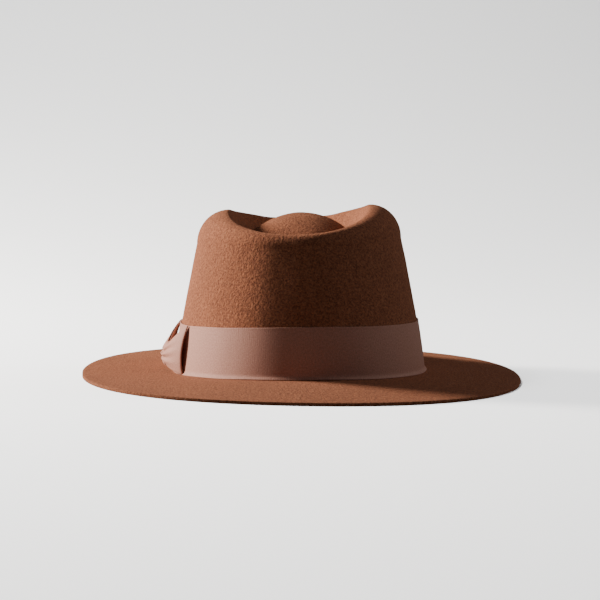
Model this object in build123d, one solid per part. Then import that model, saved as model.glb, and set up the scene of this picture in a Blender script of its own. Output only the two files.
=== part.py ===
from build123d import *
import math
import os

# Felt fedora with a teardrop crown, a ribbon band with a flat bow, a leather sweatband and a lining.
# Millimetres. +X is the wearer's right, +Y the front, +Z up. The brim rests on Z = 0.

# ---- head and felt ----
HEAD_LENGTH = 206.0        # inside the sweatband, front to back
HEAD_WIDTH = 173.0         # inside the sweatband, side to side
FELT = 2.2                 # thickness of the felt
BRIM_LENGTH = 358.0        # front edge to back edge
BRIM_WIDTH = 322.6         # side edge to side edge
BRIM_SQUARENESS = 0.045    # how much fuller than an ellipse the brim is between its ends and sides
BREAK_RADIUS = 3.5         # bend between crown and brim
BASE_HEIGHT = 3.7          # top of the brim at the break, over the floor, at the sides
SADDLE = 4.2               # how much higher the break is at the front and back

# ---- crown ----
SIDE_HEIGHT = 120.5        # top edge over the break, at the sides
BACK_HEIGHT = 101.0        # at the back
FRONT_HEIGHT = 108.0       # at the front
TAPER_SIDE = 16.6          # how far the wall leans in before its shoulder
TAPER_BACK = 13.0
TAPER_FRONT = 17.0
WALL_FULLNESS = 1.3        # over 1 bulges the wall
SHOULDER_SIDE = (23.0, 25.0)     # rounding at the top of the wall: inwards, down
SHOULDER_BACK = (7.0, 9.0)
SHOULDER_FRONT = (14.0, 18.0)
PINCH_DEPTH = 9.0          # two dents for the fingers, at the front
PINCH_ANGLE = 38.0         # each side of the middle
PINCH_WIDTH = 17.0         # degrees
LEAN_BASE = 0.016          # rise to the right per millimetre, at the break
LEAN_GAIN = 0.0003         # and its growth with height
LEAN_SIDE = 0.019          # sideways per millimetre of height
CROWN_OFFSET = -1.5        # middle of the head opening, from the middle of the brim

# ---- teardrop dent ----
GUTTER_HALF_WIDTH = 39.0
GUTTER_BACK = 60.0
GUTTER_FRONT = 68.0
GUTTER_DEPTH_SIDE = 21.0   # under the top edge
GUTTER_DEPTH_BACK = 9.0
GUTTER_DEPTH_FRONT = 8.0
TEARDROP = 0.26            # how much narrower the dent gets towards the front
DOME_HEIGHT = 116.5        # middle of the dent, over the break

# ---- ribbon ----
RIBBON_WIDTH = 36.0
RIBBON = 0.8               # thickness
RIBBON_GAP = 0.6           # between felt and ribbon
BAND_LIFT = 0.7            # bottom edge over the break
BOW_TURN = 189.0           # degrees, a little behind the wearer's left
BOW_LENGTH = 66.0
BOW_END = 2.2              # thickness of the folded ribbon at the bow's ends
BOW_SAG = 5.0              # how far the knot sits under the middle of the band
BOW_PINCH_HEIGHT = 15.0    # the gathered middle, inside the knot
BOW_PINCH_DEPTH = 6.5
KNOT_LENGTH = 15.0
FOLD_CLEARANCE = 0.4       # between the bow, its knot and the band

# ---- inside ----
SWEAT_LEATHER = 1.0
SWEAT_HEIGHT = 38.0
SWEAT_SEAM = 0.6           # open seam at the back of the leather
REED_DIAMETER = 1.2
TAPE = 0.3                 # thickness of the reed's tape
TAPE_HEIGHT = 7.0
TAPE_TURN_UP = 2.6         # its short leg, on the leather's side
LAYER_CLEARANCE = 0.1      # between sewn layers
LINING = 0.5
LINING_GAP = 0.6           # between lining and felt
LINING_BOTTOM = 12.0       # its lower edge, behind the leather
LINING_TOP = 81.0          # where the side meets the tip
TIP_RISE = 4.0
PIPING_DIAMETER = 2.0
LABEL_LENGTH = 26.0
LABEL_HEIGHT = 12.0
LABEL = 0.4
SEAM_BOW_LENGTH = 16.0     # small ribbon bow over the leather's seam
SEAM_BOW_HEIGHT = 7.0
SEAM_BOW_DEPTH = 1.6

# ---- sewing ----
THREAD = 0.6
STITCH_LENGTH = 3.2
STITCH_LIFT = 4.0          # the row over the leather's lower edge
SWEAT_STITCHES = 72
SEAM_STITCHES = 9
TACK_LENGTH = 3.0

RING_POINTS = 48
TAPE_INWARD = FELT + LAYER_CLEARANCE
REED_INWARD = TAPE_INWARD + TAPE + LAYER_CLEARANCE / 2 + REED_DIAMETER / 2
TAPE_LEG_INWARD = REED_INWARD + REED_DIAMETER / 2 + LAYER_CLEARANCE / 2
SWEAT_INWARD = TAPE_LEG_INWARD + TAPE + LAYER_CLEARANCE
SWEAT_FACE = SWEAT_INWARD + SWEAT_LEATHER      # the face that meets the head
BASE_HALF_WIDTH = HEAD_WIDTH / 2 + SWEAT_FACE
BASE_HALF_LENGTH = HEAD_LENGTH / 2 + SWEAT_FACE


def around(turn, side, back, front, power=1.5):
    """A value that goes from side to back or front with the turn, in degrees (90 is the front)."""
    s = math.sin(math.radians(turn))
    end = front if s > 0 else back
    return side + (end - side) * abs(s) ** power


def oval(turn, half_width, back, front, narrow=0.0):
    """A point of an egg-shaped ring: half_width each side, back and front from the middle."""
    c, s = math.cos(math.radians(turn)), math.sin(math.radians(turn))
    return half_width * c * (1 - narrow * s), (front - back) / 2 + (front + back) / 2 * s


def settle(x, y, z):
    """Crown coordinates to the hat's own: the break's saddle, and the crown's slight lean."""
    rise = x * (LEAN_BASE + LEAN_GAIN * z) + SADDLE * (y / BASE_HALF_LENGTH) ** 2
    return Vector(x + CROWN_OFFSET - LEAN_SIDE * z, y, z + rise + BASE_HEIGHT)


def top_height(turn):
    return around(turn, SIDE_HEIGHT, BACK_HEIGHT, FRONT_HEIGHT, 1.8)


def wall_top(turn):
    """Where the wall ends and its shoulder starts."""
    return top_height(turn) - shoulder(turn)[1]


def shoulder(turn):
    """How far the shoulder goes inwards and down at this turn."""
    inward = around(turn, SHOULDER_SIDE[0], SHOULDER_BACK[0], SHOULDER_FRONT[0])
    down = around(turn, SHOULDER_SIDE[1], SHOULDER_BACK[1], SHOULDER_FRONT[1])
    return inward, down


def pinch(turn, z):
    """Depth of the front dents at this turn and height."""
    off = min(abs((turn - 90 - side * PINCH_ANGLE + 180) % 360 - 180) for side in (-1, 1))
    rise = min(1.0, max(0.0, (z / top_height(turn) - 0.42) / 0.45))
    return PINCH_DEPTH * math.exp(-(off / PINCH_WIDTH) ** 2) * rise * rise * (3 - 2 * rise)


def wall(turn, z, inward=0.0):
    """A point of the crown's outer wall at height z, moved inwards by a distance."""
    start = wall_top(turn)
    lean = max(0.0, z / start) ** WALL_FULLNESS if z > 0 else z / start
    deep = inward + pinch(turn, z)
    half = BASE_HALF_WIDTH - TAPER_SIDE * lean - deep
    return oval(turn, half, BASE_HALF_LENGTH - TAPER_BACK * lean - deep,
                BASE_HALF_LENGTH - TAPER_FRONT * lean - deep)


def wall_point(turn, z, inward=0.0):
    x, y = wall(turn, z, inward)
    return settle(x, y, z)


def shoulder_point(turn, swing):
    """A point of the rounding from the wall (swing 0) to the top edge (swing 90)."""
    inward, down = shoulder(turn)
    start = top_height(turn) - down
    z = start + down * math.sin(math.radians(swing))
    x, y = wall(turn, start, inward * (1 - math.cos(math.radians(swing))))
    return settle(x, y, z)


def gutter(turn, share=1.0):
    return [share * value for value in oval(turn, GUTTER_HALF_WIDTH, GUTTER_BACK, GUTTER_FRONT, TEARDROP)]


def gutter_height(turn):
    depth = around(turn, GUTTER_DEPTH_SIDE, GUTTER_DEPTH_BACK, GUTTER_DEPTH_FRONT)
    return top_height(turn) - depth


def dent_point(turn, share):
    """From the top edge (share 0) down to the gutter (share 1)."""
    edge_x, edge_y = wall(turn, wall_top(turn), shoulder(turn)[0])
    low_x, low_y = gutter(turn)
    z = gutter_height(turn) + (top_height(turn) - gutter_height(turn)) * math.cos(math.pi / 2 * share) ** 1.2
    return settle(edge_x + (low_x - edge_x) * share, edge_y + (low_y - edge_y) * share, z)


def dome_point(turn, share):
    """The raised middle of the dent, from the gutter (share 1) to its top (share 0)."""
    x, y = gutter(turn, share)
    return settle(x, y, DOME_HEIGHT - (DOME_HEIGHT - gutter_height(turn)) * share ** 2)


def brim_edge(turn):
    fuller = 1 + BRIM_SQUARENESS * math.sin(math.radians(2 * turn)) ** 2
    return [fuller * value for value in oval(turn, BRIM_WIDTH / 2, BRIM_LENGTH / 2, BRIM_LENGTH / 2)]


def brim_point(turn, share):
    """The brim's top from the bend (share 0) to the edge (share 1)."""
    x, y = wall(turn, 0, -BREAK_RADIUS)
    start = settle(x, y, 0)
    end_x, end_y = brim_edge(turn)
    drop = (start.Z - FELT) * share ** 1.3
    return Vector(start.X + (end_x - start.X) * share, start.Y + (end_y - start.Y) * share, start.Z - drop)


def bend_point(turn, swing):
    """The bend between brim (swing 0) and wall (swing 90)."""
    out = BREAK_RADIUS * (1 - math.sin(math.radians(swing)))
    x, y = wall(turn, 0, -out)
    return settle(x, y, BREAK_RADIUS * (1 - math.cos(math.radians(swing))))


def bend_flare(z):
    """How far the bend stands out from the wall at height z."""
    return BREAK_RADIUS - math.sqrt(BREAK_RADIUS ** 2 - max(BREAK_RADIUS - z, 0.0) ** 2)


def felt_rows():
    """Rows of points over the outside of the felt, from the brim's edge to the middle of the dent."""
    rows = [lambda turn, s=share: brim_point(turn, s) for share in (1.0, 0.8, 0.6, 0.4, 0.2, 0.0)]
    rows += [lambda turn, s=swing: bend_point(turn, s) for swing in (30, 60, 90)]
    rows += [lambda turn, s=share: wall_point(turn, BREAK_RADIUS + s * (wall_top(turn) - BREAK_RADIUS))
             for share in (0.14, 0.28, 0.42, 0.56, 0.7, 0.85, 1.0)]
    rows += [lambda turn, s=swing: shoulder_point(turn, s) for swing in (18, 36, 54, 72, 90)]
    rows += [lambda turn, s=share: dent_point(turn, s) for share in (0.15, 0.35, 0.55, 0.75, 0.9, 1.0)]
    rows += [lambda turn, s=share: dome_point(turn, s) for share in (0.85, 0.7, 0.55, 0.4, 0.25, 0.1)]
    return [[row(360 * i / RING_POINTS) for i in range(RING_POINTS)] for row in rows]


def moved_through(rows, thickness):
    """The same rows moved through the felt, along its own direction."""
    result = []
    for k, row in enumerate(rows):
        below, above = rows[max(k - 1, 0)], rows[min(k + 1, len(rows) - 1)]
        moved = []
        for i, point in enumerate(row):
            along = row[(i + 1) % RING_POINTS] - row[i - 1]
            moved.append(point - along.cross(above[i] - below[i]).normalized() * thickness)
        result.append(moved)
    return result


def ring_wire(points):
    return Wire([Edge.make_spline(points, periodic=True)])


def skin(rows, pole):
    """Faces between neighbouring rows, closed at the pole."""
    return strips([ring_wire(row) for row in rows] + [Vertex(pole)])


def strips(outlines):
    faces = []
    for first, second in zip(outlines, outlines[1:]):
        faces += Shell.make_loft([first, second], ruled=True).faces()
    return faces


def closed_ring(loops):
    """A solid ring. The loops run round the hat and follow one another round the ring's section."""
    outlines = [ring_wire(loop) for loop in loops]
    return Solid(Shell(strips(outlines + outlines[:1])))


def wall_ring(heights, outer, inner):
    """A ring that lies along the wall, between two depths inwards from the felt's outside."""
    section = [(z, outer) for z in heights] + [(z, inner) for z in reversed(heights)]
    return closed_ring([wall_loop(z, inward) for z, inward in section])


def wall_loop(z, inward):
    return [wall_point(360 * i / RING_POINTS, z, inward) for i in range(RING_POINTS)]


def round_ring(z, inward, diameter, sides=8):
    """A round cord that follows the wall."""
    section = [(z + diameter / 2 * math.sin(2 * math.pi * k / sides),
                inward + diameter / 2 * math.cos(2 * math.pi * k / sides)) for k in range(sides)]
    return closed_ring([wall_loop(height, depth) for height, depth in section])


def middle(points):
    return sum(points, Vector(0, 0, 0)) * (1 / len(points))


def corner_wire(points):
    """A closed outline with straight sides."""
    return Wire([Edge.make_line(a, b) for a, b in zip(points, points[1:] + points[:1])])


def capped_tube(sections):
    """A solid through closed sections, with a flat cap at both ends."""
    outlines = [Vertex(middle(sections[0]))] + [corner_wire(points) for points in sections]
    return Solid(Shell(strips(outlines + [Vertex(middle(sections[-1]))])))


def soft_box(turn, low, high, outer, inner, sides=12):
    """A closed section at one turn: a box with round corners, in height and depth, that clears the bend."""
    points = []
    for k in range(sides):
        c, s = math.cos(2 * math.pi * k / sides), math.sin(2 * math.pi * k / sides)
        up = (low + high) / 2 + (high - low) / 2 * math.copysign(abs(s) ** 0.5, s)
        deep = (outer + inner) / 2 + (inner - outer) / 2 * math.copysign(abs(c) ** 0.5, c)
        points.append(wall_point(turn, up, deep - bend_flare(up)))
    return points


def turn_length(turn):
    """Length of one degree of turn, along the bottom of the wall."""
    x0, y0 = wall(turn - 0.5, 0)
    x1, y1 = wall(turn + 0.5, 0)
    return math.hypot(x1 - x0, y1 - y0)


def thread_between(start, end):
    """One stitch: a short bar of thread."""
    along = end - start
    return Solid.make_cylinder(THREAD / 2, along.length, Plane(origin=start, z_dir=along))


def make_felt_body():
    outside = felt_rows()
    inside = moved_through(outside, FELT)
    top = settle(0, 0, DOME_HEIGHT)
    faces = skin(outside, top) + skin(inside, top - Vector(0, 0, FELT))
    faces += strips([ring_wire(outside[0]), ring_wire(inside[0])])
    return Solid(Shell(faces))


def make_hat_band():
    heights = [BAND_LIFT, BREAK_RADIUS, BAND_LIFT + RIBBON_WIDTH / 2, BAND_LIFT + RIBBON_WIDTH]
    outside = [wall_loop(z, -RIBBON_GAP - RIBBON - bend_flare(z)) for z in heights]
    inside = [wall_loop(z, -RIBBON_GAP - bend_flare(z)) for z in reversed(heights)]
    return closed_ring(outside + inside)


BAND_FACE = RIBBON_GAP + RIBBON                 # outer face of the band, from the felt
BAND_MIDDLE = BAND_LIFT + RIBBON_WIDTH / 2
BOW_INNER = BAND_FACE + THREAD + 2 * LAYER_CLEARANCE   # room for the tacks
PINCH_INNER = BOW_INNER + RIBBON + FOLD_CLEARANCE   # the knot's ribbon goes under the bow


def make_bow_loop(side):
    """Half of the bow, side -1 the front and 1 the rear: folded ribbon, gathered into the knot."""
    degree = turn_length(BOW_TURN)
    gathered = KNOT_LENGTH / 2 + 1.0
    sections = []
    for step in (0.0, 0.15, 0.35, 0.6, 0.8, 1.0):
        reach = gathered + (BOW_LENGTH / 2 - gathered) * step
        spread = step * step * (3 - 2 * step)
        half = BOW_PINCH_HEIGHT / 2 + (RIBBON_WIDTH - BOW_PINCH_HEIGHT) / 2 * spread
        near = PINCH_INNER + (BOW_INNER - PINCH_INNER) * spread
        depth = BOW_PINCH_DEPTH + (BOW_END - BOW_PINCH_DEPTH) * spread
        sections.append((reach, BAND_MIDDLE - BOW_SAG * (1 - spread), half, near, near + depth))
    sections.insert(0, (FOLD_CLEARANCE / 2,) + sections[0][1:])
    return capped_tube([soft_box(BOW_TURN + side * reach / degree, center - half, center + half, -near, -far)
                        for reach, center, half, near, far in sections])


def make_bow_knot():
    """The ribbon wrapped round the gathered middle of the bow."""
    degree = turn_length(BOW_TURN)
    inner_half = BOW_PINCH_HEIGHT / 2 + FOLD_CLEARANCE
    center = BAND_MIDDLE - BOW_SAG
    far = PINCH_INNER + BOW_PINCH_DEPTH + FOLD_CLEARANCE
    loops = []
    for end, wrap in ((-1, 0.0), (-1, RIBBON), (1, RIBBON), (1, 0.0)):
        loops.append(corner_wire(soft_box(
            BOW_TURN + end * KNOT_LENGTH / 2 / degree, center - inner_half - wrap,
            center + inner_half + wrap, -(PINCH_INNER - FOLD_CLEARANCE) + wrap, -far - wrap)))
    return Solid(Shell(strips(loops + loops[:1])))


def make_bow_tacks():
    """Thread bars between the bow's end corners and the band."""
    degree = turn_length(BOW_TURN)
    bars = []
    for side in (-1, 1):
        turn = BOW_TURN + side * (BOW_LENGTH / 2 - TACK_LENGTH) / degree
        for end in (-1, 1):
            z = BAND_MIDDLE + end * (RIBBON_WIDTH / 2 - TACK_LENGTH)
            depth = -BAND_FACE - THREAD / 2 - LAYER_CLEARANCE
            step = TACK_LENGTH / 2 / degree
            bars.append(thread_between(wall_point(turn - step, z, depth), wall_point(turn + step, z, depth)))
    return Compound(bars)


def make_sweatband():
    heights = [SWEAT_HEIGHT * share for share in (0.0, 0.25, 0.5, 0.75, 1.0)]
    ring = wall_ring(heights, SWEAT_INWARD, SWEAT_FACE)
    back = wall_point(270, SWEAT_HEIGHT / 2, (SWEAT_INWARD + SWEAT_FACE) / 2)
    slot = Pos(back.X, back.Y, back.Z) * Box(SWEAT_SEAM, 8 * SWEAT_LEATHER, 2 * SWEAT_HEIGHT)
    return ring - slot


TAPE_BOTTOM = -LAYER_CLEARANCE
REED_HEIGHT = TAPE_BOTTOM + TAPE + LAYER_CLEARANCE / 2 + REED_DIAMETER / 2


def make_reed():
    return round_ring(REED_HEIGHT, REED_INWARD, REED_DIAMETER)


def make_reed_tape():
    """Tape folded round the reed, with a long leg on the felt and a short one on the leather."""
    inside_bottom = TAPE_BOTTOM + TAPE
    section = [(TAPE_HEIGHT, TAPE_INWARD), (TAPE_BOTTOM, TAPE_INWARD), (TAPE_BOTTOM, TAPE_LEG_INWARD + TAPE),
               (TAPE_TURN_UP, TAPE_LEG_INWARD + TAPE), (TAPE_TURN_UP, TAPE_LEG_INWARD),
               (inside_bottom, TAPE_LEG_INWARD), (inside_bottom, TAPE_INWARD + TAPE),
               (TAPE_HEIGHT, TAPE_INWARD + TAPE)]
    return closed_ring([wall_loop(z, inward) for z, inward in section])


THREAD_FACE = SWEAT_FACE + THREAD / 2 + LAYER_CLEARANCE


def make_sweatband_stitches():
    """The row of machine stitches that holds the leather to its tape and the felt."""
    bars = []
    for i in range(SWEAT_STITCHES):
        turn = 360 * (i + 0.5) / SWEAT_STITCHES
        step = STITCH_LENGTH / 2 / turn_length(turn)
        bars.append(thread_between(wall_point(turn - step, STITCH_LIFT, THREAD_FACE),
                                   wall_point(turn + step, STITCH_LIFT, THREAD_FACE)))
    return Compound(bars)


def make_back_seam_stitches():
    """Zigzag that joins the two ends of the leather."""
    low, high = STITCH_LIFT + 3 * THREAD, SWEAT_HEIGHT - 3 * THREAD
    rise = (high - low) / SEAM_STITCHES
    step = STITCH_LENGTH / 2 / turn_length(270)
    bars = []
    for i in range(SEAM_STITCHES):
        z = low + rise * i
        bars.append(thread_between(wall_point(270 - step, z, THREAD_FACE),
                                   wall_point(270 + step, z + rise / 2, THREAD_FACE)))
    return Compound(bars)


def make_seam_bow():
    """The small bow that covers the top of the leather's seam."""
    degree = turn_length(270)
    near = THREAD_FACE + THREAD / 2 + LAYER_CLEARANCE
    top = SWEAT_HEIGHT - 1.0
    sections = []
    for reach, share in ((-1.0, 1.0), (-0.5, 0.85), (0.0, 0.45), (0.5, 0.85), (1.0, 1.0)):
        half = SEAM_BOW_HEIGHT / 2 * share
        z = top - SEAM_BOW_HEIGHT / 2
        turn = 270 + reach * SEAM_BOW_LENGTH / 2 / degree
        sections.append(soft_box(turn, z - half, z + half, near, near + SEAM_BOW_DEPTH))
    return capped_tube(sections)


def make_size_label():
    """A small blank leather tab on the sweatband, beside the seam."""
    degree = turn_length(270)
    near = SWEAT_FACE + LAYER_CLEARANCE
    start = 270 + (SEAM_BOW_LENGTH / 2 + 6.0) / degree
    low = (SWEAT_HEIGHT - LABEL_HEIGHT) / 2 + 3.0
    sections = [soft_box(start + step * LABEL_LENGTH / degree, low, low + LABEL_HEIGHT, near, near + LABEL)
                for step in (0.0, 0.25, 0.5, 0.75, 1.0)]
    return capped_tube(sections)


LINING_INWARD = FELT + LINING_GAP


def make_lining_side():
    heights = [LINING_BOTTOM + (LINING_TOP - LINING_BOTTOM) * k / 6 for k in range(7)]
    return wall_ring(heights, LINING_INWARD, LINING_INWARD + LINING)


def make_lining_tip():
    """The lining's top: a shallow oval cap inside the piping."""
    edge_depth = LINING_INWARD + PIPING_DIAMETER + LINING
    low_z = LINING_TOP + PIPING_DIAMETER / 2
    rows = []
    for share in (1.0, 0.8, 0.6, 0.4, 0.2):
        z = low_z + TIP_RISE * (1 - share ** 2)
        edge = [wall(360 * i / RING_POINTS, low_z, edge_depth) for i in range(RING_POINTS)]
        rows.append([settle(x * share, y * share, z) for x, y in edge])
    under = [[point - Vector(0, 0, LINING) for point in row] for row in rows]
    top = settle(0, 0, low_z + TIP_RISE)
    faces = skin(rows, top) + skin(under, top - Vector(0, 0, LINING))
    return Solid(Shell(faces + strips([ring_wire(rows[0]), ring_wire(under[0])])))


def make_tip_piping():
    return round_ring(LINING_TOP + PIPING_DIAMETER / 2 + LAYER_CLEARANCE,
                      LINING_INWARD + PIPING_DIAMETER / 2, PIPING_DIAMETER)


os.makedirs("parts", exist_ok=True)
PARTS = {
    "felt_body": make_felt_body(),
    "hat_band": make_hat_band(),
    "bow_front_loop": make_bow_loop(-1),
    "bow_rear_loop": make_bow_loop(1),
    "bow_knot": make_bow_knot(),
    "bow_tacks": make_bow_tacks(),
    "sweatband": make_sweatband(),
    "sweatband_reed": make_reed(),
    "reed_tape": make_reed_tape(),
    "sweatband_stitches": make_sweatband_stitches(),
    "back_seam_stitches": make_back_seam_stitches(),
    "seam_bow": make_seam_bow(),
    "size_label": make_size_label(),
    "lining_side": make_lining_side(),
    "lining_tip": make_lining_tip(),
    "tip_piping": make_tip_piping(),
}
for name, shape in PARTS.items():
    export_step(shape, f"parts/{name}.step")
    print(name, round(shape.volume / 1000, 2), "cm3")
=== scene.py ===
# %% [markdown]
# # A felt fedora
# A fedora is one piece of wool felt pulled over a wooden block: a brim, a crown, and a dent pressed into
# its top. A ribbon, a leather sweatband and a lining are sewn to it. The frame gives the sizes; the looks
# are made here.

# %% Load the frame
import bpy
import bmesh
import math
from mathutils import Matrix, Vector, noise


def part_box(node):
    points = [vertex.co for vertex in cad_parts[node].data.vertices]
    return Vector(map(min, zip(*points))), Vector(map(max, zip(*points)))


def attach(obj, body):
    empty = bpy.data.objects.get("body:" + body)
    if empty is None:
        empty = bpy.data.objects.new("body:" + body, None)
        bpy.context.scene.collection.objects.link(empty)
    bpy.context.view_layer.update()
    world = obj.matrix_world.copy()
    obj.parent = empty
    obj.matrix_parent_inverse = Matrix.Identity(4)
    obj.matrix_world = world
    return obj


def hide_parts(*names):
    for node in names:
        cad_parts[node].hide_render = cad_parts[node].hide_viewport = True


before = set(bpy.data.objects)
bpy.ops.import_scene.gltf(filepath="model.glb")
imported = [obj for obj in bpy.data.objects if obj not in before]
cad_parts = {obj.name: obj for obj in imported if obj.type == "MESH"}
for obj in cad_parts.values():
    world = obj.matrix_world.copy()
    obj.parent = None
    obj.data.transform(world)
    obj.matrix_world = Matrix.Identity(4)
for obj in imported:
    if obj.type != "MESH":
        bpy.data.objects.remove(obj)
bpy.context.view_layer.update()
MM = 0.001


def report(title, piece):
    print(f"{title}: {len(piece.data.vertices)} points, {len(piece.data.polygons)} faces")


# %% [markdown]
# ## The hat's own coordinates
# A hatter thinks of turns round the head and heights over the break, where brim and crown meet. Every
# piece follows the same wall, so one set of short formulas places felt, ribbon, leather and lining alike.
# Turns are in degrees: 90 is the front, 180 the wearer's left, 270 the back.

# %% Sizes in millimetres
low_brim, high_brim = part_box("felt_body")
BRIM_HALF_WIDTH = (high_brim[0] - low_brim[0]) / 2 / MM
BRIM_HALF_LENGTH = (high_brim[1] - low_brim[1]) / 2 / MM
FELT = 2.2
HALF_WIDTH, HALF_LENGTH = 91.8, 108.3       # outside of the felt at the break
BREAK_RADIUS, BASE_HEIGHT, SADDLE = 3.5, 3.7, 4.2
SQUARENESS = 0.045                          # the brim is a little fuller than an ellipse
TOP = (120.5, 101.0, 108.0)                 # height at the sides, back and front
TOP_POWER = 1.8                             # over 1 keeps the height at the sides for longer
TAPER = (16.6, 13.0, 17.0)                  # how far the wall leans in
SHOULDER_IN = (23.0, 7.0, 14.0)
SHOULDER_DOWN = (25.0, 9.0, 18.0)
FULLNESS = 1.3
PINCH_DEPTH, PINCH_ANGLE, PINCH_WIDTH = 9.0, 38.0, 17.0      # two finger dents at the front
PINCH_START, PINCH_SPAN = 0.42, 0.45        # where the dents start and reach full depth, as shares of TOP
LEAN_BASE, LEAN_GAIN, LEAN_SIDE, OFFSET = 0.016, 0.0003, 0.019, -1.5
GUTTER = (39.0, 60.0, 68.0)                 # half width, back and front of the dent
GUTTER_DEPTH = (21.0, 9.0, 8.0)
TEARDROP, DOME = 0.26, 116.5
print("brim", round(2 * BRIM_HALF_WIDTH), "by", round(2 * BRIM_HALF_LENGTH), "mm")


# %% Formulas for the wall
def around(turn, side, back, front, power=1.5):
    """A value that changes from the side to the back or the front of the hat (90 degrees is the front)."""
    s = math.sin(math.radians(turn))
    return side + ((front if s > 0 else back) - side) * abs(s) ** power


def oval(turn, half_width, back, front, narrow=0.0):
    """A point of an egg-shaped ring; narrow makes its front slimmer than its back."""
    c, s = math.cos(math.radians(turn)), math.sin(math.radians(turn))
    return half_width * c * (1 - narrow * s), (front - back) / 2 + (front + back) / 2 * s


def settle(x, y, z):
    """Hatter's coordinates to metres: the break is a saddle, and the crown leans a little."""
    rise = x * (LEAN_BASE + LEAN_GAIN * z) + SADDLE * (y / HALF_LENGTH) ** 2
    return Vector((x + OFFSET - LEAN_SIDE * z, y, z + rise + BASE_HEIGHT)) * MM


def top_height(turn):
    return around(turn, *TOP, TOP_POWER)


def wall_top(turn):
    return top_height(turn) - around(turn, *SHOULDER_DOWN)


def pinch(turn, z):
    """How deep the finger dents are here."""
    off = min(abs((turn - 90 - side * PINCH_ANGLE + 180) % 360 - 180) for side in (-1, 1))
    rise = min(1.0, max(0.0, (z / top_height(turn) - PINCH_START) / PINCH_SPAN))
    return PINCH_DEPTH * math.exp(-(off / PINCH_WIDTH) ** 2) * rise * rise * (3 - 2 * rise)


def wall(turn, z, inward=0.0):
    """A point of the wall's outside at height z, moved inwards."""
    share = z / wall_top(turn)
    lean = share ** FULLNESS if share > 0 else share
    deep = inward + pinch(turn, z)
    return oval(turn, HALF_WIDTH - TAPER[0] * lean - deep, HALF_LENGTH - TAPER[1] * lean - deep,
                HALF_LENGTH - TAPER[2] * lean - deep)


def wall_point(turn, z, inward=0.0):
    return settle(*wall(turn, z, inward), z)


def turn_length(turn):
    """Length of one degree of turn, in millimetres."""
    (x0, y0), (x1, y1) = wall(turn - 0.5, 0), wall(turn + 0.5, 0)
    return math.hypot(x1 - x0, y1 - y0)


# %% [markdown]
# ## Zones of the felt
# From the brim's cut edge the felt runs in, bends up, climbs the wall, rounds over the shoulder, falls
# into the teardrop dent and rises again in its middle. Each zone is a formula of the turn and of how far
# along it is, so the grid can have more rows where the felt bends and fewer where it is flat.

# %% Formulas for brim, shoulder and dent
BRIM_FALL = 1.3        # over 1 keeps the brim level near the break
DENT_LIP = 1.2         # over 1 makes a sharper lip on the dent


def brim_point(turn, along):
    share = 1 - along                            # 0 at the bend, 1 at the cut edge
    start = settle(*wall(turn, 0, -BREAK_RADIUS), 0) / MM
    fuller = 1 + SQUARENESS * math.sin(math.radians(2 * turn)) ** 2
    edge = oval(turn, BRIM_HALF_WIDTH, BRIM_HALF_LENGTH, BRIM_HALF_LENGTH)
    end_x, end_y = (fuller * value for value in edge)
    drop = (start.z - FELT) * share ** BRIM_FALL
    x, y = start.x + (end_x - start.x) * share, start.y + (end_y - start.y) * share
    return Vector((x, y, start.z - drop)) * MM


def bend_point(turn, share):
    swing = math.pi / 2 * share
    x, y = wall(turn, 0, -BREAK_RADIUS * (1 - math.sin(swing)))
    return settle(x, y, BREAK_RADIUS * (1 - math.cos(swing)))


def side_point(turn, share):
    return wall_point(turn, BREAK_RADIUS + share * (wall_top(turn) - BREAK_RADIUS))


def shoulder_point(turn, share):
    swing = math.pi / 2 * share
    z = wall_top(turn) + around(turn, *SHOULDER_DOWN) * math.sin(swing)
    return settle(*wall(turn, wall_top(turn), around(turn, *SHOULDER_IN) * (1 - math.cos(swing))), z)


def gutter_height(turn):
    return top_height(turn) - around(turn, *GUTTER_DEPTH)


def dent_point(turn, share):
    edge_x, edge_y = wall(turn, wall_top(turn), around(turn, *SHOULDER_IN))
    low_x, low_y = oval(turn, *GUTTER, TEARDROP)
    high, low = top_height(turn), gutter_height(turn)
    z = low + (high - low) * math.cos(math.pi / 2 * share) ** DENT_LIP
    return settle(edge_x + (low_x - edge_x) * share, edge_y + (low_y - edge_y) * share, z)


def dome_point(turn, share):
    x, y = oval(turn, *GUTTER, TEARDROP)
    rest = 1 - share
    return settle(x * rest, y * rest, DOME - (DOME - gutter_height(turn)) * rest ** 2)


ZONES = ((brim_point, 26), (bend_point, 5), (side_point, 34), (shoulder_point, 14), (dent_point, 14),
         (dome_point, 20))
FELT_ROWS = sum(count for _, count in ZONES)


def felt_point(turn, row):
    for place, count in ZONES:
        if row <= count:
            return place(turn, row / count)
        row -= count
    return place(turn, 1.0)


# %% [markdown]
# ## Shaping a grid
# A sheet that goes round the hat is easiest as a flat grid that is wrapped: the grid operator makes the
# faces and their UV map, the formula moves the points, and merging doubles closes the seam and the pole.
# The UV map keeps the grid's own shares, so a weave can follow the cloth.

# %% Helper that wraps a grid
MERGE = 0.000002       # metres


def wrapped_grid(name, columns, rows, place, close=True):
    """A new piece: place(u, v) gives the point for the grid's two shares, both from 0 to 1."""
    mesh = bpy.data.meshes.new(name)
    bm = bmesh.new()
    bm.loops.layers.uv.new("UVMap")
    bmesh.ops.create_grid(bm, x_segments=columns, y_segments=rows, size=0.5, calc_uvs=True)
    for vert in bm.verts:
        vert.co = place(vert.co.x + 0.5, vert.co.y + 0.5)
    if close:
        bmesh.ops.remove_doubles(bm, verts=bm.verts, dist=MERGE)
    bmesh.ops.recalc_face_normals(bm, faces=bm.faces)
    for face in bm.faces:
        face.smooth = True
    bm.to_mesh(mesh)
    bm.free()
    piece = bpy.data.objects.new(name, mesh)
    bpy.context.scene.collection.objects.link(piece)
    return piece


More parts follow.
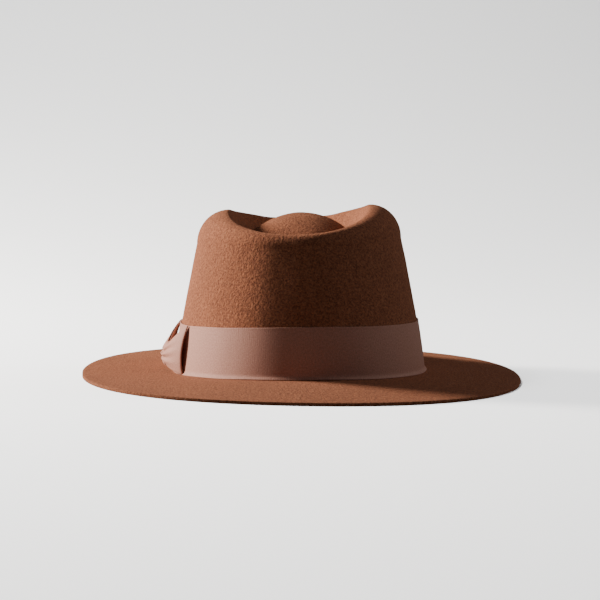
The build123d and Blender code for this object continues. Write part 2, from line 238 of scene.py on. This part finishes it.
def thicken(piece, thickness, offset=-1.0, bevel=0.0):
    """Give a sheet its thickness, inwards by default, and soften its cut edge."""
    solid = piece.modifiers.new("thickness", "SOLIDIFY")
    solid.thickness, solid.offset, solid.use_even_offset = thickness, offset, True
    if bevel:
        edge = piece.modifiers.new("cut edge", "BEVEL")
        edge.width, edge.segments = bevel, 2
        edge.limit_method, edge.angle_limit = "ANGLE", math.radians(50)


# %% [markdown]
# ## Materials: helpers
# Colours are picked as sRGB hex values, as in any paint program, and turned linear once for the shader.

# %% Helpers for materials
def colour(hex_value):
    """An sRGB hex colour as linear RGBA."""
    parts = [int(hex_value[i:i + 2], 16) / 255 for i in (1, 3, 5)]
    return [p / 12.92 if p <= 0.04045 else ((p + 0.055) / 1.055) ** 2.4 for p in parts] + [1.0]


def add(tree, kind, sockets=None, **settings):
    """Add a node with its settings. Each socket gets a value, or another node's output to link."""
    item = tree.nodes.new(kind)
    for key, value in settings.items():
        setattr(item, key, value)
    for key, value in (sockets or {}).items():
        if isinstance(value, bpy.types.NodeSocket):
            tree.links.new(value, item.inputs[key])
        else:
            item.inputs[key].default_value = value
    return item


def new_material(name, **shader):
    material = bpy.data.materials.new(name)
    material.use_nodes = True
    tree = material.node_tree
    bsdf = tree.nodes["Principled BSDF"]
    for key, value in shader.items():
        bsdf.inputs[key.replace("_", " ")].default_value = value
    return material, tree, bsdf


def blend(tree, share, dark, light):
    """Mix two colours by a 0 to 1 output."""
    mix = add(tree, "ShaderNodeMix", {0: share, 6: dark, 7: light}, data_type="RGBA")
    return mix.outputs[2]


def stretch(tree, value, low, high, to_low=0.0, to_high=1.0):
    """Map the range low to high of an output onto another range."""
    sockets = {"Value": value, "From Min": low, "From Max": high,
               "To Min": to_low, "To Max": to_high}
    return add(tree, "ShaderNodeMapRange", sockets).outputs["Result"]


def bump(tree, bsdf, layers):
    """Stack height layers, each (output, strength, distance in metres), on the shader's normal."""
    normal = None
    for height, strength, distance in layers:
        sockets = {"Height": height, "Strength": strength, "Distance": distance}
        if normal:
            sockets["Normal"] = normal
        normal = add(tree, "ShaderNodeBump", sockets).outputs["Normal"]
    tree.links.new(normal, bsdf.inputs["Normal"])


# %% [markdown]
# ## Wool felt
# Felt has no weave. Its fibres lock into a dense mat, which is brushed, so light catches single fibres: a
# fine speckle, hardly any sheen and no gloss. Specks are about 1.3 mm, clumps 2.4 mm and uneven dye 60
# mm, because a noise's scale is one over its size in metres.

# %% Felt material
def make_felt(name, dark, light, fibre):
    material, tree, bsdf = new_material(name, Roughness=0.95, IOR=1.45, Specular_IOR_Level=0.12,
                                        Sheen_Weight=0.07, Sheen_Roughness=0.5)
    bsdf.inputs["Sheen Tint"].default_value = colour("#D89A70")
    place = add(tree, "ShaderNodeTexCoord").outputs["Object"]
    speck = add(tree, "ShaderNodeTexNoise",
                {"Vector": place, "Scale": 750, "Detail": 3, "Roughness": 0.7})
    clump = add(tree, "ShaderNodeTexNoise",
                {"Vector": place, "Scale": 420, "Detail": 2, "Distortion": 0.4})
    dye = add(tree, "ShaderNodeTexNoise", {"Vector": place, "Scale": 16, "Detail": 3})
    specks = stretch(tree, speck.outputs["Fac"], 0.36, 0.64)
    body = blend(tree, specks, colour(dark), colour(light))
    lighter = stretch(tree, clump.outputs["Fac"], 0.52, 0.74, 0.0, 0.3)
    body = blend(tree, lighter, body, colour(fibre))
    shade = stretch(tree, dye.outputs["Fac"], 0.3, 0.7, 0.92, 1.06)
    bright = add(tree, "ShaderNodeHueSaturation", {"Color": body, "Value": shade})
    tree.links.new(bright.outputs["Color"], bsdf.inputs["Base Color"])
    bump(tree, bsdf, [(clump.outputs["Fac"], 0.5, 0.0012), (speck.outputs["Fac"], 0.7, 0.0009)])
    return material


FELT_LOOK = make_felt("brushed_wool_felt", "#6A3E2D", "#9C6143", "#B47A58")

# %% [markdown]
# ## Felt body
# The crown could be carved from a cylinder, but the dent folds back on itself. Wrapping a grid along the
# zones keeps rows where the felt bends. The blocked felt is never quite even, so slow noise moves the
# points a little, and the back has a shallow hollow from top to bottom, a little left of its middle, with
# a soft ridge beside it.

# %% Felt body
WAVES = ((22, 0.5, (0, 0, 0)), (60, 0.2, (3, 1, 4)))     # noise scale, height in mm, shift
RIDGE = (14, 14, 0.9)                                    # place, half width and height in mm
HOLLOW = (-14, 12, 0.8)
STILL, EASE = 8, 20                                      # mm: no waves below, full waves that much higher


def soft_step(x, place, half_width, height):
    return height * math.exp(-((x - place) / half_width) ** 2)


def felt_place(u, v):
    turn = 360 * u
    point = felt_point(turn, v * FELT_ROWS)
    up = max(0.0, min(1.0, (point.z - STILL * MM) / (EASE * MM)))
    wave = sum(height * noise.noise(point * scale + Vector(shift)) for scale, height, shift in WAVES)
    if point.y < 0:
        wave += soft_step(point.x / MM, *RIDGE) - soft_step(point.x / MM, *HOLLOW)
    out = Vector((point.x, point.y, 0)).normalized()
    return point + out * wave * up * MM


felt = wrapped_grid("felt_shell", 256, FELT_ROWS, felt_place)
thicken(felt, FELT * MM, -1.0, 0.4 * MM)
felt.data.materials.append(FELT_LOOK)
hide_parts("felt_body")
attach(felt, "root")
report("felt", felt)

# %% [markdown]
# ## Grosgrain ribbon
# Grosgrain has fine warp threads over thick ribs that run across the ribbon, and a firm woven edge. The
# ribs are waves along the ribbon's length, read from its UV map in real lengths. Real ribs are 1 mm
# apart. Here they are 1.7 mm apart with a low relief, because finer ones turn into moving bands when the
# hat is drawn small.

# %% Ribbon material
RIB, WARP = 1.7, 1.3       # mm


def make_ribbon(name, dark, light, length, width):
    """length and width of the ribbon in millimetres, for a UV map that goes from 0 to 1 both ways."""
    material, tree, bsdf = new_material(name, Roughness=0.7, IOR=1.5, Specular_IOR_Level=0.3,
                                        Sheen_Weight=0.12, Sheen_Roughness=0.4)
    bsdf.inputs["Sheen Tint"].default_value = colour("#E8B8A0")
    uv = add(tree, "ShaderNodeUVMap", uv_map="UVMap").outputs["UV"]
    size = add(tree, "ShaderNodeMapping", {"Vector": uv, "Scale": (length, width, 1)}).outputs["Vector"]
    axes = add(tree, "ShaderNodeSeparateXYZ", {"Vector": size})
    along, across = axes.outputs["X"], axes.outputs["Y"]

    def calculate(operation, *values):
        return add(tree, "ShaderNodeMath", dict(enumerate(values)), operation=operation).outputs[0]

    rib = calculate("SINE", calculate("MULTIPLY", along, 2 * math.pi / RIB))
    warp = calculate("SINE", calculate("MULTIPLY", across, 2 * math.pi / WARP))
    weave = calculate("MULTIPLY", rib, warp)
    slub = add(tree, "ShaderNodeTexNoise",
               {"Vector": size, "Scale": 0.8, "Detail": 4, "Roughness": 0.7})
    tone = stretch(tree, slub.outputs["Fac"], 0.3, 0.7)
    body = blend(tree, tone, colour(dark), colour(light))
    shade = stretch(tree, weave, -1.0, 1.0, 0.95, 1.04)
    fine = add(tree, "ShaderNodeHueSaturation", {"Color": body, "Value": shade})
    tree.links.new(fine.outputs["Color"], bsdf.inputs["Base Color"])
    bump(tree, bsdf, [(rib, 0.15, 0.0001), (weave, 0.2, 0.0001),
                      (slub.outputs["Fac"], 0.5, 0.0006)])
    return material


# %% [markdown]
# ## The band
# The band is one length of 36 mm ribbon, stretched round the wall and sewn under the bow. It is a thin
# ring on the wall's own formula; its edge rows stand out a hair, as a woven edge does.

# %% Band
RIBBON_WIDTH, RIBBON = 36.0, 0.8
BAND_LIFT = 0.7
BAND_OUT = 0.25                                  # the band's inner face, from the felt
SELVEDGE, RIPPLE, WANDER = 0.15, 0.3, 0.5        # mm: thick woven edge, slack, unevenly laid edge
BAND_LENGTH = sum(turn_length(turn) for turn in range(360))


def ring_noise(u, size, height):
    """Noise that closes round the hat: u is the share of the way round."""
    swing = 2 * math.pi * u
    return noise.noise(Vector((math.cos(swing) * size, math.sin(swing) * size, height)))


def bend_flare(z):
    """How far the bend stands out from the wall at height z."""
    return BREAK_RADIUS - math.sqrt(BREAK_RADIUS ** 2 - max(BREAK_RADIUS - z, 0.0) ** 2)


def band_place(u, v):
    z = BAND_LIFT + RIBBON_WIDTH * v
    selvedge = SELVEDGE * (math.exp(-(v / 0.02) ** 2) + math.exp(-((1 - v) / 0.02) ** 2))
    ripple = RIPPLE * ring_noise(u, 3, v)
    lift = WANDER * ring_noise(u, 2.5, 7)
    out = -BAND_OUT - RIBBON - bend_flare(z) - selvedge - max(0.0, ripple)
    return wall_point(360 * u, z + lift, out)


band = wrapped_grid("ribbon_band", 256, 30, band_place)
thicken(band, RIBBON * MM, -1.0, 0.15 * MM)
PINK = ("#9C6A57", "#B88471")
band.data.materials.append(make_ribbon("grosgrain_band", *PINK, BAND_LENGTH, RIBBON_WIDTH))
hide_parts("hat_band")
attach(band, "root")
report("band", band)

# %% [markdown]
# ## The bow
# A flat bow is a short length of the same ribbon, gathered in the middle by a wrap. Each half is full
# width at its end and pleated under the wrap, so its face slopes and arches. Its ends are folded under,
# and the middle of each fold stands off the band.

# %% Bow
BOW_TURN, BOW_HALF, KNOT_HALF, GATHERED, BOW_SAG = 189.0, 33.0, 7.5, 7.2, 5.0
DEGREE = turn_length(BOW_TURN)
MIDDLE = BAND_LIFT + RIBBON_WIDTH / 2
BAND_FACE = BAND_OUT + RIBBON
LOOP_START, GATHER_REACH = 1.0, 6.0         # mm from the bow's middle: start of a half, end of its gathers
LOOP_LENGTH = 2 * (BOW_HALF - LOOP_START)
FOLD_NOSE, BOW_CLEAR = 1.2, 0.25            # mm: rounding of the folded end, room over the band
PLEATS, PLEAT_DEPTH = 3.5, 0.8


def on_band(reach, up, out):
    """A point reach mm along the band from the bow's middle, up from its centre line, out from its face."""
    return wall_point(BOW_TURN + reach / DEGREE, MIDDLE + up, -BAND_FACE - out)


def bow_place(side):
    """The formula of one half; side is -1 for the front half and 1 for the rear one."""
    def place(u, v):
        across = 2 * v - 1                       # -1 the lower edge, 1 the upper edge
        fold = abs(2 * u - 1)                    # 1 at the knot, 0 at the folded end
        ply = 1 if u < 0.5 else -1               # 1 for the outer ply, -1 for the one folded under
        reach = LOOP_START + (BOW_HALF - LOOP_START) * (1 - fold ** 1.7)   # finer rows at the fold
        spread = max(0.0, min(1.0, (reach - GATHER_REACH) / (BOW_HALF - GATHER_REACH)))
        half = GATHERED + (RIBBON_WIDTH / 2 - GATHERED) * spread ** 0.8
        arch = max(0.0, 1 - across ** 2)
        raised = 1.0 + 2.6 * arch + (5.6 - 2.0 * arch) * (1 - spread) ** 0.8
        nose = math.sqrt(1 - max(0.0, (reach - BOW_HALF + FOLD_NOSE) / FOLD_NOSE) ** 2)
        gap = (0.4 + 2.9 * (1 - spread) * arch ** 0.5) * nose
        ridges = math.cos(across * PLEATS * math.pi) * (0.35 + 0.65 * arch)
        pleat = PLEAT_DEPTH * (1 - spread) ** 1.5 * ridges
        out = max(BOW_CLEAR, raised + ply * gap + pleat)
        return on_band(side * reach, across * half - BOW_SAG * (1 - spread), out)
    return place


ribbon_bow = make_ribbon("grosgrain_bow", *PINK, LOOP_LENGTH, RIBBON_WIDTH)
bows = []
for label, side in (("front", -1), ("rear", 1)):
    loop = wrapped_grid(f"bow_{label}", 72, 64, bow_place(side), close=False)
    thicken(loop, RIBBON * 0.6 * MM, 0.0)
    loop.data.materials.append(ribbon_bow)
    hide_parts(f"bow_{label}_loop")
    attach(loop, "root")
    bows.append(loop)
report("bow half", bows[0])


# %% Knot
def boxy(value):
    """Turns a circle's sine and cosine into those of a box with round corners."""
    return math.copysign(abs(value) ** 0.7, value)


def knot_place(u, v):
    swing = 2 * math.pi * v
    along = 2 * u - 1
    edge = abs(along) ** 6
    half = GATHERED + 1.4 - 0.3 * edge
    tall = boxy(math.sin(swing)) * half
    deep = 5.3 + boxy(math.cos(swing)) * (4.4 - 0.3 * edge)
    crease = 0.35 * math.cos(along * 2.5 * math.pi + 0.6) * max(0.0, math.cos(swing))
    return on_band(KNOT_HALF * along, tall - BOW_SAG, deep + crease)


knot = wrapped_grid("bow_wrap", 36, 72, knot_place)
thicken(knot, RIBBON * 0.7 * MM, 0.0, 0.1 * MM)
knot.data.materials.append(make_ribbon("grosgrain_wrap", *PINK, 2 * KNOT_HALF, 50))
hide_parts("bow_knot")
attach(knot, "root")
report("knot", knot)

# %% [markdown]
# ## Leather sweatband
# The sweatband is thin sheepskin, dyed brown and worn smooth. Leather's surface is a net of small cells 1
# mm across; the dye sits darker between them. It is a strip along the wall, so the wall's formula makes
# it too.

# %% Leather
def make_leather(name, dark, light, gloss):
    material, tree, bsdf = new_material(name, Roughness=gloss, IOR=1.5, Specular_IOR_Level=0.45)
    place = add(tree, "ShaderNodeTexCoord").outputs["Object"]
    cell = add(tree, "ShaderNodeTexVoronoi", {"Vector": place, "Scale": 900}, feature="DISTANCE_TO_EDGE")
    stain = add(tree, "ShaderNodeTexNoise", {"Vector": place, "Scale": 60, "Detail": 4})
    tone = stretch(tree, stain.outputs["Fac"], 0.3, 0.7)
    grain = stretch(tree, cell.outputs["Distance"], 0.0, 0.12, 0.75, 1.0)
    body = blend(tree, tone, colour(dark), colour(light))
    worn = add(tree, "ShaderNodeHueSaturation", {"Color": body, "Value": grain})
    tree.links.new(worn.outputs["Color"], bsdf.inputs["Base Color"])
    height = stretch(tree, cell.outputs["Distance"], 0.0, 0.12)
    bump(tree, bsdf, [(height, 0.4, 0.00015), (stain.outputs["Fac"], 0.3, 0.0006)])
    return material


SWEAT_IN, SWEAT_LEATHER, SWEAT_HEIGHT, SEAM = 4.3, 1.0, 38.0, 0.4
SWEAT_TURNS = 360 - SEAM / turn_length(270)


def sweat_place(u, v):
    turn = 270 + SEAM / 2 / turn_length(270) + SWEAT_TURNS * u
    wave = 0.35 * ring_noise(u, 4, v * 2)
    return wall_point(turn, SWEAT_HEIGHT * v, SWEAT_IN + SWEAT_LEATHER * 0.5 + wave * v)


sweat = wrapped_grid("leather_sweatband", 256, 16, sweat_place, close=False)
thicken(sweat, SWEAT_LEATHER * 0.9 * MM, 0.0, 0.2 * MM)
sweat.data.materials.append(make_leather("sheepskin_leather", "#4E3021", "#6B452F", 0.5))
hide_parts("sweatband")
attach(sweat, "root")
report("sweatband", sweat)

# %% [markdown]
# ## Lining
# The lining is satin: a strip behind the leather, gathered a little into the piped seam, and an oval tip.
# Satin's long floats give a soft, stretched highlight, so it is smoother than the ribbon. The gathers are
# waves.

# %% Lining
def make_satin(name, dark, light):
    material, tree, bsdf = new_material(name, Roughness=0.42, IOR=1.5, Specular_IOR_Level=0.5,
                                        Sheen_Weight=0.25, Sheen_Roughness=0.3)
    place = add(tree, "ShaderNodeTexCoord").outputs["Object"]
    fine = add(tree, "ShaderNodeMapping", {"Vector": place, "Scale": (2600, 2600, 300)})
    thread = add(tree, "ShaderNodeTexNoise",
                 {"Vector": fine.outputs["Vector"], "Scale": 1.0, "Detail": 2})
    tone = stretch(tree, thread.outputs["Fac"], 0.35, 0.65)
    tree.links.new(blend(tree, tone, colour(dark), colour(light)), bsdf.inputs["Base Color"])
    bump(tree, bsdf, [(thread.outputs["Fac"], 0.25, 0.0001)])
    return material


satin = make_satin("satin_lining", "#4A2C20", "#64402F")
LINING_IN, LINING, LINING_LOW, LINING_HIGH = 2.8, 0.5, 12.0, 81.0
PIPING, TIP_RISE, GATHERS = 2.0, 4.0, 46
MIDDLE_HEIGHT = 50.0       # where the lining's length is measured
LINING_RING = [wall(turn, MIDDLE_HEIGHT, LINING_IN) for turn in range(361)]
LINING_ROUND = sum(math.dist(a, b) for a, b in zip(LINING_RING, LINING_RING[1:]))


def lining_place(u, v):
    z = LINING_LOW + (LINING_HIGH - LINING_LOW) * v
    gather = 0.55 * v ** 2 * math.sin(2 * math.pi * GATHERS * u + 2 * math.sin(14 * u))
    return wall_point(360 * u, z, LINING_IN + 0.7 + gather)


def tip_place(u, v):
    z = LINING_HIGH + PIPING / 2
    x, y = wall(360 * u, z, LINING_IN + PIPING + LINING - 0.3)
    share = 1 - v
    return settle(x * share, y * share, z + TIP_RISE * (1 - share ** 2) - LINING / 2)


lining = wrapped_grid("satin_side", 368, 18, lining_place)
tip = wrapped_grid("satin_tip", 128, 24, tip_place)
for piece, node in ((lining, "lining_side"), (tip, "lining_tip")):
    thicken(piece, LINING * 0.8 * MM, 0.0)
    piece.data.materials.append(satin)
    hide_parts(node)
    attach(piece, "root")
report("lining", lining)

# %% [markdown]
# ## Small sewn pieces
# Reed, tape, thread, label and piping have their real shape in the frame already. They only need a
# finish: thread is twisted, so its noise is finer than the tape's, and the reed is plain extruded
# plastic.

# %% Thread, tape and reed
def make_thread(name, dark, light, fineness):
    material, tree, bsdf = new_material(name, Roughness=0.75, IOR=1.5, Specular_IOR_Level=0.3)
    place = add(tree, "ShaderNodeTexCoord").outputs["Object"]
    ply = add(tree, "ShaderNodeTexNoise", {"Vector": place, "Scale": fineness, "Detail": 2})
    tone = stretch(tree, ply.outputs["Fac"], 0.35, 0.65)
    tree.links.new(blend(tree, tone, colour(dark), colour(light)), bsdf.inputs["Base Color"])
    bump(tree, bsdf, [(ply.outputs["Fac"], 0.5, 0.0001)])
    return material


FINISHES = {
    make_thread("twisted_thread", "#7A5640", "#A0785C", 2200):
        ("sweatband_stitches", "back_seam_stitches", "bow_tacks"),
    make_thread("cotton_tape", "#2C1C15", "#3F2A20", 1500): ("reed_tape",),
    make_thread("extruded_plastic", "#C8C0AE", "#D2CBBB", 300): ("sweatband_reed",),
    make_leather("label_leather", "#8A5E3C", "#A87850", 0.45): ("size_label",),
    satin: ("tip_piping",),
}
for material, names in FINISHES.items():
    for name in names:
        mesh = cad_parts[name].data
        mesh.materials.clear()
        mesh.materials.append(material)
print("finished", sum(len(names) for names in FINISHES.values()), "carried-over nodes")

# %% [markdown]
# ## The little bow inside
# Hatters cover the top of the leather's seam with a tiny ribbon bow. It is too small for a sheet of its
# own, so one pinched grid, thick as two plies, stands for it.

# %% Seam bow
SEAM_BOW_HALF, SEAM_BOW_TALL, SEAM_BOW_IN = 8.0, 3.5, 6.3


def seam_bow_place(u, v):
    swing = 2 * math.pi * v
    along = 2 * u - 1
    waist = 0.4 + 0.6 * abs(along) ** 0.8
    shut = 1 - abs(along) ** 10
    up = SWEAT_HEIGHT - 4.5 + SEAM_BOW_TALL * waist * math.sin(swing) * (0.15 + 0.85 * shut)
    deep = SEAM_BOW_IN + 0.5 + 0.45 * math.cos(swing) * (0.2 + 0.8 * shut)
    return wall_point(270 + SEAM_BOW_HALF * along / turn_length(270), up, deep)


seam_bow = wrapped_grid("seam_bow_ribbon", 40, 24, seam_bow_place)
thicken(seam_bow, 0.12 * MM, -1.0)
seam_bow.data.materials.append(make_ribbon("narrow_ribbon", "#8E6759", "#A87F70", 16, 14))
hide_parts("seam_bow")
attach(seam_bow, "root")
report("seam bow", seam_bow)

# %% [markdown]
# ## Studio
# A pale floor sweeps up into a wall with no visible corner. One soft light stands low at the left, a
# little behind the hat, so the near face turns from light to dark at its middle. A weak light from the
# right lifts the shadows. Two washes light only the sweep, and the sweep is darker for light that bounces
# off it than for the camera, as if black flags stood round the hat.

# %% Studio sweep
SWEEP_BACK, SWEEP_RADIUS, SWEEP_FRONT = 0.6, 3.5, -3.0       # metres
SWEEP_HALF, WALL_HEIGHT = 5.0, 2.0
FLOOR_SHARE, BEND_SHARE = 0.4, 0.3                           # of the grid's rows; the rest is the wall


def sweep_place(u, v):
    x = SWEEP_HALF * (2 * u - 1)
    if v < FLOOR_SHARE:
        return Vector((x, SWEEP_FRONT + (SWEEP_BACK - SWEEP_FRONT) * v / FLOOR_SHARE, 0))
    if v < FLOOR_SHARE + BEND_SHARE:
        swing = math.pi / 2 * (v - FLOOR_SHARE) / BEND_SHARE
        y, z = SWEEP_RADIUS * math.sin(swing), SWEEP_RADIUS * (1 - math.cos(swing))
        return Vector((x, SWEEP_BACK + y, z))
    up = (v - FLOOR_SHARE - BEND_SHARE) / (1 - FLOOR_SHARE - BEND_SHARE)
    return Vector((x, SWEEP_BACK + SWEEP_RADIUS, SWEEP_RADIUS + WALL_HEIGHT * up))


def make_backdrop():
    material, tree, bsdf = new_material("matte_backdrop", Roughness=1.0, Specular_IOR_Level=0.0)
    seen = add(tree, "ShaderNodeLightPath").outputs["Is Camera Ray"]
    tree.links.new(blend(tree, seen, colour("#505050"), colour("#F4F4F3")), bsdf.inputs["Base Color"])
    return material


sweep = wrapped_grid("studio_sweep", 4, 60, sweep_place, close=False)
sweep.data.materials.append(make_backdrop())


# %% Lights
def soft_light(name, place, target, size, power, tint="#FFFFFF"):
    """A round area light that faces its target."""
    data = bpy.data.lights.new(name, "AREA")
    data.shape, data.size, data.energy = "DISK", size, power
    data.color = colour(tint)[:3]
    light = bpy.data.objects.new(name, data)
    light.location = place
    light.rotation_euler = (Vector(target) - Vector(place)).to_track_quat("-Z", "Y").to_euler()
    bpy.context.scene.collection.objects.link(light)
    return light


CROWN = (0, 0, 0.07)
sweep_only = bpy.data.collections.new("sweep only")    # the two washes light the sweep and not the hat
sweep_only.objects.link(sweep)
soft_light("key", (-1.55, 0.38, 0.66), CROWN, 0.45, 97, "#FFFAF4")
soft_light("rim", (1.3, 0.5, 0.9), CROWN, 0.6, 6)
for wash in (soft_light("backdrop", (-1.2, 1.6, 3.4), (-0.5, 3.0, 0.4), 1.2, 120),
             soft_light("floor", (-1.1, -0.1, 1.7), (-0.25, 0.1, 0), 0.8, 75)):
    wash.light_linking.receiver_collection = sweep_only
world = bpy.data.worlds.new("studio")
bpy.context.scene.world = world
world.use_nodes = True
world.node_tree.nodes["Background"].inputs["Color"].default_value = colour("#DDE2EA")
world.node_tree.nodes["Background"].inputs["Strength"].default_value = 0.15

# %% [markdown]
# ## Camera
# A long lens from 1.4 m, level with the crown's top and looking slightly down, keeps the brim a thin
# oval.

# %% Camera
CAMERA_DISTANCE, CAMERA_HEIGHT, CAMERA_X = 1.4, 0.166, -0.002
PITCH, ROLL, LENS = math.radians(4.53), math.radians(0.95), 113.5
camera = bpy.data.objects.new("camera", bpy.data.cameras.new("camera"))
camera.data.lens, camera.data.sensor_width = LENS, 36
turned = Matrix.Rotation(math.pi / 2 - PITCH, 4, "X") @ Matrix.Rotation(ROLL, 4, "Z")
camera.matrix_world = Matrix.Translation((CAMERA_X, -CAMERA_DISTANCE, CAMERA_HEIGHT)) @ turned
bpy.context.scene.collection.objects.link(camera)
bpy.context.scene.camera = camera
